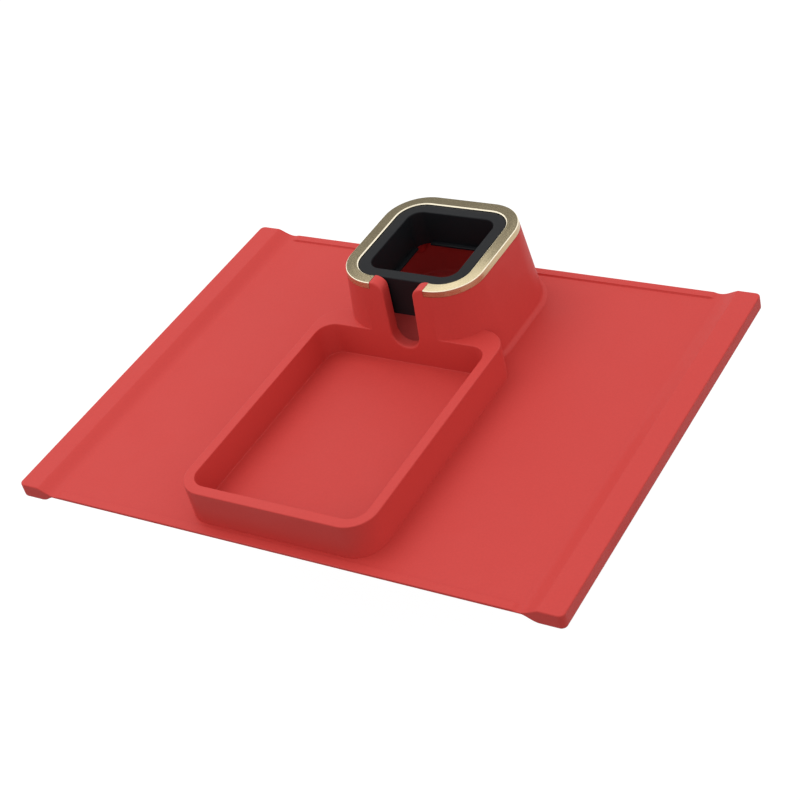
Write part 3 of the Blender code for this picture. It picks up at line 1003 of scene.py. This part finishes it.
    def well(self) -> bpy.types.Object:
        """Cutter of the tower's hollow, its brackets left standing."""
        inner = self.lean(self.floor) - self.wall
        corners = [
            (inner - self.well_land, self.floor, 0.0),
            (inner, self.floor, self.well_round),
            (self.lean(self.top + CLEAR) - self.wall, self.top + CLEAR, 0.0),
        ]
        cutter = loft("well", self.outline(), rounded_profile(corners))
        # the well's faces take the darker silicone copy: painted shade inside the tower
        cutter.data.materials.append(self.wardrobe.inside)
        for side_x in (-1.0, 1.0):
            for side_y in (-1.0, 1.0):
                combine(cutter, self.bracket(side_x, side_y), "DIFFERENCE")
        return cutter

    def slot(self) -> bpy.types.Object:
        """Cutter of the handle slot.

        The outline has a round foot, sloping sides and shoulders that curl out to the
        top. It is carried inwards from the tower's leaning front face, at depth d from
        it. Near the front face it opens by r (1 - cos a) at d = r (1 - sin a), so the
        slot's edges come out rounded with radius r. At the well's side they do the same
        on a smaller radius.
        """
        low, high = self.slot_half
        stations = self.slot_steps + 1
        foot = np.radians(np.linspace(-90.0, 0.0, stations))
        right = np.stack([low * np.cos(foot), self.slot_foot + low * np.sin(foot)], axis=1)
        hub = np.array([high + self.slot_shoulder, self.top - self.slot_shoulder])
        turn = np.radians(np.linspace(180.0, self.slot_curl, stations))
        shoulder = hub + self.slot_shoulder * np.stack([np.cos(turn), np.sin(turn)], axis=1)
        up = shoulder[-1:] + np.array([[0.0, 4.0 * CLEAR]])
        right = np.concatenate([right, shoulder, up])
        left = right[:0:-1] * np.array([-1.0, 1.0])
        outline = np.concatenate([right, left])
        ahead = np.roll(outline, -1, axis=0) - np.roll(outline, 1, axis=0)
        normals = np.stack([ahead[:, 1], -ahead[:, 0]], axis=1)
        normals /= np.linalg.norm(normals, axis=1)[:, None]

        r = self.slot_round
        widest, extra, stations = self.slot_bevel
        angles = np.radians(np.linspace(widest, 0.0, stations))
        opening = r * (1.0 - np.cos(angles))
        opening = np.concatenate([opening[:1] + extra * r, opening])
        depth = np.concatenate([[-CLEAR], r * (1.0 - np.sin(angles))])
        inner = self.slot_inner
        depths = np.concatenate([depth, self.wall - inner * depth[::-1]])
        depths[-1] = self.wall + CLEAR
        openings = np.concatenate([opening, inner * opening[::-1]])

        flat = outline[None, :, :] + openings[:, None, None] * normals[None, :, :]
        front = self.tower_y - self.half - self.lean(flat[:, :, 1])
        front = np.maximum(front, self.pocket_y[1])
        y = front + depths[:, None]
        grid = np.stack([flat[:, :, 0], y, flat[:, :, 1] + MAT_TOP], axis=-1)
        return solid_from_rings("slot", grid)

    def seat(self) -> bpy.types.Object:
        """Cutter of the step in the top edge that the trim clips over."""
        skirt, plate, lip = self.seat_drop
        skirt_in, lip_in = self.seat_in
        above = self.top + 4.0 * CLEAR
        reach = self.half + 4.0 * CLEAR
        low = (-reach, self.tower_y - reach, self.top - skirt - GAP)
        cutter = block("seat", low, (reach, self.tower_y + reach, above))
        under = self.top - plate - GAP
        inset = -skirt_in - GAP
        core = np.array([(inset, low[2] - CLEAR), (inset, under)])
        combine(cutter, loft("core", self.outline(), core), "DIFFERENCE")
        half, corner = self.mouth
        rail = rounded_rectangle(half, half, corner, self.tower_y)
        widening = lip_in + GAP
        mouth = np.array([(widening, under - lip), (widening, above - CLEAR / 2.0)])
        combine(cutter, loft("mouth", rail, mouth), "UNION")
        front, reach = self.tower_y - self.half, 10.0 * CLEAR
        low = (-self.bridge, front - reach, low[2] - 4.0 * CLEAR)
        high = (self.bridge, front + reach, above + CLEAR)
        combine(cutter, block("bridge", low, high), "DIFFERENCE")
        return cutter

    def build(self) -> None:
        """Joins the panel, the tray and the tower, then cuts the hollows."""
        body = self.panel()
        body.data.materials.append(self.wardrobe.silicone)
        # second slot: the darker silicone copy that paints shade into the well
        body.data.materials.append(self.wardrobe.inside)
        tray = self.tray()
        combine(tray, self.pocket(True), "DIFFERENCE")
        tower = self.tower()
        combine(tower, self.pocket(False), "DIFFERENCE")
        combine(body, tray, "UNION")
        combine(body, tower, "UNION")
        combine(body, self.well(), "DIFFERENCE")
        combine(body, self.slot(), "DIFFERENCE")
        combine(body, self.seat(), "DIFFERENCE")
        self.piece = weld(body)

    def finish(self) -> None:
        """Dresses the moulding and lets it ride on the centre body."""
        dress(self.piece, self.wardrobe.silicone)
        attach(self.piece, "centre")
        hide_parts("mat_centre")


@dataclass
class Wing:
    """One wing: sheet, beads and hem, with the bars and the strip that hold it down."""

    side: Side
    sheet: Sheet
    wardrobe: Wardrobe
    bend: tuple[float, float] = (0.0950, 0.1090)  # where the skin bends round the fold
    bar_edge: float = 0.0006
    cover_edge: float = 0.0008
    bars: int = 3
    stations: tuple[int, ...] = (2, 19, 12, 7, 29, 5)  # columns of each run across the wing
    pieces: dict[str, bpy.types.Object] = field(default_factory=dict)

    def columns(self) -> tuple[Array, Array]:
        """Hub and plan-corner angle of every column, from the seam to the outer face."""
        sheet = self.sheet
        start, end = self.bend
        last = sheet.half_x - sheet.corner
        runs = [(sheet.seam_x, start), self.bend, (end, sheet.bead_end[0])]
        runs += [sheet.bead_end, sheet.hem_ramp, (sheet.hem_ramp[1], last)]
        columns = [np.linspace(*run, count) for run, count in zip(runs, self.stations)]
        straight = np.unique(np.concatenate(columns).round(7))
        turn = np.radians(np.linspace(0.0, 90.0, ARC_STEPS + 1))[1:]
        hubs = np.concatenate([straight, np.full(len(turn), last)])
        angles = np.concatenate([np.zeros(len(straight)), turn])
        return hubs, angles

    def skin(self) -> bpy.types.Object:
        """The wing's skin: top face, underside and the side wall round three edges."""
        sheet = self.sheet
        hubs, angles = self.columns()
        upper, lower = sheet.edge_radii(hubs)
        hub_y = sheet.half_y - sheet.corner
        rows = sheet.rows()[1:-1] / sheet.half_y * hub_y
        normal_x, normal_y = np.sin(angles), np.cos(angles)
        front = np.stack([hubs, np.full(len(hubs), -hub_y)], axis=1)
        outer = np.stack([np.full(len(rows), hubs[-1]), rows], axis=1)
        back = front[::-1] * np.array([1.0, -1.0])
        around = np.concatenate([front, outer, back])
        normals = np.concatenate(
            [
                np.stack([normal_x, -normal_y], axis=1),
                np.broadcast_to(np.array([1.0, 0.0]), outer.shape),
                np.stack([normal_x, normal_y], axis=1)[::-1],
            ]
        )
        patches = [
            sheet.face(hubs, angles, upper, True),
            sheet.face(hubs, angles, lower, False),
            sheet.side_strip(around, normals),
        ]
        return solid_from_patches(
            f"{self.side.word}_wing_skin", patches, mirror=self.side is Side.LEFT
        )

    def box_of(self, node: str, grow: float) -> tuple[Corner, Corner]:
        """Corners of a CAD node's box, grown by a clearance, heights above the sheet."""
        low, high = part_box(node)
        low_corner = (low.x - grow, low.y - grow, low.z - MAT_TOP - grow)
        high_corner = (high.x + grow, high.y + grow, high.z - MAT_TOP + grow)
        return low_corner, high_corner

    def build(self) -> None:
        """Builds the skin, cuts the bar pockets into it, and builds bars and strip."""
        word = self.side.word
        skin = self.skin()
        cover_node = f"{word}_hem_cover"
        low, high = self.box_of(cover_node, GAP)
        recess = block("recess", (low[0], low[1], low[2] - CLEAR), high)
        for number in range(1, self.bars + 1):
            low, top = self.box_of(f"{word}_weight_{number}", GAP)
            combine(recess, block("pocket", (low[0], low[1], low[2] - CLEAR / 2.0), top), "UNION")
        combine(skin, recess, "DIFFERENCE")
        self.pieces[f"{word}_wing"] = weld(skin)
        self.pieces[cover_node] = block(
            f"{word}_cover_strip", *self.box_of(cover_node, 0.0), self.cover_edge
        )
        for number in range(1, self.bars + 1):
            node = f"{word}_weight_{number}"
            self.pieces[node] = block(
                f"{word}_steel_bar_{number}", *self.box_of(node, 0.0), self.bar_edge
            )

    def finish(self) -> None:
        """Dresses the pieces; the skin is baked in place, the strip and bars ride on the flap's body.
        """
        body = f"{self.side.word}_flap"
        for node, piece in self.pieces.items():
            is_bar = "weight" in node
            dress(piece, self.wardrobe.steel if is_bar else self.wardrobe.silicone)
            if node.endswith("_wing"):
                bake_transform(piece)
            else:
                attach(piece, body)
            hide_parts(node)


class TrimFace(Enum):
    """Faces of the trim's section, by material slot."""

    PLATE = 0
    # chamfer faces, in the pale cream of painted highlight
    CUT_EDGE = 1
    # outer skirt, in the paler gold of painted light
    SKIRT = 2


@dataclass
class RimTrim:
    """C-shaped metal trim: a flat plate, an outer skirt and a short inner lip."""

    wardrobe: Wardrobe
    centre: CentreMoulding
    chamfer: tuple[float, float] = (0.0009, 0.0006)  # inner and outer edge
    gap_half: float = 0.0264
    sharp: float = math.radians(20.0)
    piece: bpy.types.Object = field(init=False, default=None)
    face_slots: Array = field(init=False, default=None)

    def rails(self) -> tuple[Array, Array]:
        """Inner and outer rail of the C, from the right end round to the left end."""
        centre = self.centre
        half, corner = centre.mouth
        rails = []
        for rail_half, rail_corner in ((half, corner), (centre.half, centre.corner)):
            ring, _ = rounded_rectangle(rail_half, rail_half, rail_corner, centre.tower_y)
            front = centre.tower_y - rail_half
            ends = np.array([[self.gap_half, front], [-self.gap_half, front]])
            rails.append(np.concatenate([ends[:1], ring, ends[1:]]))
        return rails[0], rails[1]

    def section(self) -> tuple[Array, Array]:
        """Trim section, and each segment's material: plate, chamfer with painted highlight, skirt
        with painted light.
        """
        centre = self.centre
        width = centre.half - centre.mouth[0]
        skirt, plate, lip = centre.seat_drop
        skirt_in, lip_in = centre.seat_in
        top, (inner_cut, cut) = centre.top, self.chamfer
        foot = width + centre.draft * skirt
        shoulder = width + centre.draft * cut
        under = top - plate
        points = [
            (foot, top - skirt),
            (shoulder, top - cut),
            (width - cut, top),
            (inner_cut, top),
            (0.0, top - inner_cut),
            (0.0, under - lip),
            (lip_in, under - lip),
            (lip_in, under),
            (width - skirt_in, under),
            (width - skirt_in, top - skirt),
        ]
        slots = np.full(len(points), TrimFace.PLATE.value, dtype=np.int32)
        slots[[1, 3]] = TrimFace.CUT_EDGE.value
        slots[[0, 9]] = TrimFace.SKIRT.value
        return np.array(points), slots

    def build(self) -> None:
        """Carries the section along the C and closes its two ends."""
        inner, outer = self.rails()
        section, slots = self.section()
        width = self.centre.half - self.centre.mouth[0]
        grid = ruled_rings(inner, outer, width, section)
        rows, columns = grid.shape[:2]
        faces = grid_faces(rows, columns, True, False)
        sides = len(faces)
        ends = [np.arange(rows)[::-1] * columns, np.arange(rows) * columns + columns - 1]
        self.piece = mesh_object(
            "gold_rim_trim", grid.reshape(-1, 3), faces.tolist() + [end.tolist() for end in ends]
        )
        along = np.tile(path_lengths(outer), rows)
        around = path_lengths(np.concatenate([section, section[:1]]))
        across = np.repeat(around[:-1], columns)
        store_uv(self.piece, along, across, float(around[-1]))
        self.face_slots = np.zeros(len(self.piece.data.polygons), dtype=np.int32)
        self.face_slots[:sides] = np.repeat(slots, columns - 1)

    def finish(self) -> None:
        """Dresses plate, chamfers (painted highlight) and skirt (painted light); the trim rides on
        the centre body.
        """
        dress(self.piece, self.wardrobe.gold, self.sharp)
        # the chamfers' pale cream is painted highlight
        self.piece.data.materials.append(self.wardrobe.cut_edge)
        # the skirt's paler gold is painted light
        self.piece.data.materials.append(self.wardrobe.gold_side)
        self.piece.data.polygons.foreach_set("material_index", self.face_slots)
        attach(self.piece, "centre")
        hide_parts("cup_rim_trim")


@dataclass
class CupSleeve:
    """Removable black sleeve: flange, bore wall, skirt and four ledges."""

    wardrobe: Wardrobe
    centre_y: float = (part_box("cup_insert")[0].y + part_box("cup_insert")[1].y) / 2.0
    half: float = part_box("cup_insert")[1].x
    top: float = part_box("cup_insert")[1].z - MAT_TOP
    foot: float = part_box("cup_insert")[0].z - MAT_TOP
    corner: float = 0.0229
    bore_half: float = 0.0425
    bore_corner: float = 0.0125
    flange: float = 0.0030
    wall: float = 0.0024
    bore_end: float = 0.0449
    edge: float = 0.0009
    fine_edge: float = 0.0004
    core_round: float = 0.0008
    arc_steps: int = 5
    ledge_half: float = 0.0387
    ledge_thick: float = 0.0023
    ledge_run: float = 0.0310
    ledge_edge: float = 0.0007
    ledge_lift: float = 0.00002  # keeps its underside off the bore wall's lower edge
    piece: bpy.types.Object = field(init=False, default=None)

    def shell(self) -> bpy.types.Object:
        """Flange, walls and cored underside, as one closed section carried round."""
        width = self.half - self.bore_half
        core_top = self.top - self.flange
        corners = [
            (width, self.foot, self.fine_edge),
            (width, self.top, self.edge),
            (0.0, self.top, self.edge),
            (0.0, self.bore_end, self.fine_edge),
            (self.wall, self.bore_end, self.fine_edge),
            (self.wall, core_top, self.core_round),
            (width - self.wall, core_top, self.core_round),
            (width - self.wall, self.foot, self.fine_edge),
        ]
        section = rounded_profile(corners, self.arc_steps, closed=True)
        inner, _ = rounded_rectangle(self.bore_half, self.bore_half, self.bore_corner, self.centre_y)
        outer, _ = rounded_rectangle(self.half, self.half, self.corner, self.centre_y)
        grid = ruled_rings(inner, outer, width, section)
        faces = grid_faces(*grid.shape[:2], True, True).tolist()
        return weld(mesh_object("black_cup_sleeve", grid.reshape(-1, 3), faces))

    def ledge(self, turn: int) -> bpy.types.Object:
        """One ledge strip: the right side's, turned by quarter turns about the bore."""
        low = self.bore_end + self.ledge_lift
        reach = self.bore_half + self.wall / 2.0
        ends = np.array([(self.ledge_half, -self.ledge_run), (reach, self.ledge_run)])
        quarter = np.array([[0, 1], [-1, 0]])
        near, far = np.sort(ends @ np.linalg.matrix_power(quarter, turn), axis=0)
        low_corner = (near[0], near[1] + self.centre_y, low)
        high_corner = (far[0], far[1] + self.centre_y, low + self.ledge_thick)
        return block("ledge", low_corner, high_corner, self.ledge_edge)

    def build(self) -> None:
        """Joins the shell and its ledges."""
        body = self.shell()
        for turn in range(4):
            combine(body, self.ledge(turn), "UNION")
        self.piece = weld(body)

    def finish(self) -> None:
        """Dresses the sleeve; it rides on its own body."""
        dress(self.piece, self.wardrobe.black)
        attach(self.piece, "sleeve")
        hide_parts("cup_insert")


# ---------------------------------------------------------------------------
# Studio


@dataclass(frozen=True)
class Softbox:
    """A rectangular area light that faces a point."""

    name: str
    place: Corner
    aim: Corner
    size: tuple[float, float]
    radiance: float

    def add(self) -> bpy.types.Object:
        """Adds the light; its power is its radiance times pi times its area."""
        data = bpy.data.lights.new(self.name, "AREA")
        data.shape = "RECTANGLE"
        data.size, data.size_y = self.size
        data.energy = self.radiance * math.pi * self.size[0] * self.size[1]
        lamp = bpy.data.objects.new(self.name, data)
        bpy.context.collection.objects.link(lamp)
        lamp.location = self.place
        line = Vector(self.aim) - Vector(self.place)
        lamp.rotation_euler = line.to_track_quat("-Z", "Y").to_euler()
        return lamp


@dataclass
class Studio:
    """Pale floor, soft lights and the camera."""

    trim: bpy.types.Object
    azimuth: float = 39.38
    elevation: float = 37.14
    roll: float = 15.79
    distance: float = 1.4907
    target: Corner = (0.01310, -0.00372, MAT_TOP)
    lens: float = 80.09
    sensor: float = 36.0
    floor_half: float = 12.0
    sky: float = 0.90
    backdrop: float = 1.05  # what the camera sees, so that no horizon shows
    floor_drop: float = 0.165  # low enough for the wings to hang free when they are folded
    floor_glow: float = 0.96  # seen directly and in reflections; the floor lights little else
    floor_tone: float = 0.10
    floor_roughness: float = 0.9
    floor_specular: float = 0.1
    softboxes: tuple[Softbox, ...] = (
        Softbox("left_softbox", (-1.0, 0.1, 2.1), (0.0, 0.0, 0.0), (1.6, 1.6), 1.9),
        Softbox("right_fill", (2.2, 0.5, 0.9), (0.0, 0.0, 0.05), (1.6, 1.2), 0.8),
    )
    trim_card: Softbox = Softbox(
        "trim_card", (-0.30, 0.55, 0.74), (0.03, 0.07, 0.09), (0.9, 0.45), 4.4
    )

    def axes(self) -> Matrix:
        """Camera axes from azimuth, elevation and roll, the roll turning about the view line."""
        a, e, r = (math.radians(v) for v in (self.azimuth, self.elevation, self.roll))
        forward = Vector((-math.sin(a) * math.cos(e), math.cos(a) * math.cos(e), -math.sin(e)))
        level = Vector((math.cos(a), math.sin(a), 0.0))
        upright = level.cross(forward)
        right = level * math.cos(r) - upright * math.sin(r)
        up = right.cross(forward)
        return Matrix((right, up, -forward)).transposed()

    def add_camera(self) -> None:
        """Adds the camera and makes it the scene's."""
        data = bpy.data.cameras.new("camera")
        data.lens = self.lens
        data.sensor_width = self.sensor
        camera = bpy.data.objects.new("camera", data)
        bpy.context.collection.objects.link(camera)
        turn = self.axes()
        place = Vector(self.target) + turn.col[2] * self.distance
        camera.matrix_world = Matrix.Translation(place) @ turn.to_4x4()
        bpy.context.scene.camera = camera

    def add_floor(self) -> None:
        """Adds the pale floor."""
        half, z = self.floor_half, -self.floor_drop
        points = np.array([(-half, -half, z), (half, -half, z), (half, half, z), (-half, half, z)])
        floor = mesh_object("floor", points, [[0, 1, 2, 3]])
        material = bpy.data.materials.new("pale_floor")
        material.use_nodes = True
        shader = material.node_tree.nodes["Principled BSDF"]
        shader.inputs["Base Color"].default_value = (*[self.floor_tone] * 3, 1.0)
        shader.inputs["Emission Color"].default_value = (1.0, 1.0, 1.0, 1.0)
        graph = Graph(material.node_tree)
        path = graph.add("LightPath")
        seen = graph.math("MAXIMUM", path.outputs["Is Camera Ray"], path.outputs["Is Glossy Ray"])
        graph.join(graph.math("MULTIPLY", seen, self.floor_glow), shader.inputs["Emission Strength"])
        shader.inputs["Roughness"].default_value = self.floor_roughness
        shader.inputs["Specular IOR Level"].default_value = self.floor_specular
        floor.data.materials.append(material)

    def build(self) -> None:
        """Adds everything, and sets the world's soft white light."""
        self.add_floor()
        self.add_camera()
        for softbox in self.softboxes:
            softbox.add()
        lit = bpy.data.collections.new("lit_by_trim_card")
        lit.objects.link(self.trim)
        self.trim_card.add().light_linking.receiver_collection = lit
        world = bpy.data.worlds.new("studio")
        world.use_nodes = True
        background = world.node_tree.nodes["Background"]
        background.inputs["Color"].default_value = (1.0, 1.0, 1.0, 1.0)
        graph = Graph(world.node_tree)
        seen = graph.add("LightPath").outputs["Is Camera Ray"]
        strength = graph.spread(seen, 0.0, 1.0, self.sky, self.backdrop)
        graph.join(strength, background.inputs["Strength"])
        bpy.context.scene.world = world
        bpy.context.scene.view_settings.view_transform = "Standard"


def triangle_count(piece: bpy.types.Object) -> int:
    """Triangles of a piece's evaluated mesh."""
    evaluated = piece.evaluated_get(bpy.context.evaluated_depsgraph_get())
    mesh = evaluated.to_mesh()
    mesh.calc_loop_triangles()
    count = len(mesh.loop_triangles)
    evaluated.to_mesh_clear()
    return count


def main() -> None:
    """Builds the assemblies in order, dresses them and reports each piece."""
    logging.basicConfig(level=logging.INFO, format="%(name)s: %(message)s")
    wardrobe = Wardrobe()
    sheet = Sheet()
    centre = CentreMoulding(sheet, wardrobe)
    wings = [Wing(side, sheet, wardrobe) for side in Side]
    trim = RimTrim(wardrobe, centre)
    sleeve = CupSleeve(wardrobe)
    for assembly in (centre, *wings, trim, sleeve):
        assembly.build()
        assembly.finish()
    pieces = [centre.piece, trim.piece, sleeve.piece]
    for wing in wings:
        pieces += list(wing.pieces.values())
    for piece in pieces:
        LOG.info("%s: %d triangles", piece.name, triangle_count(piece))
    Studio(trim.piece).build()


if __name__ == "__main__":
    main()
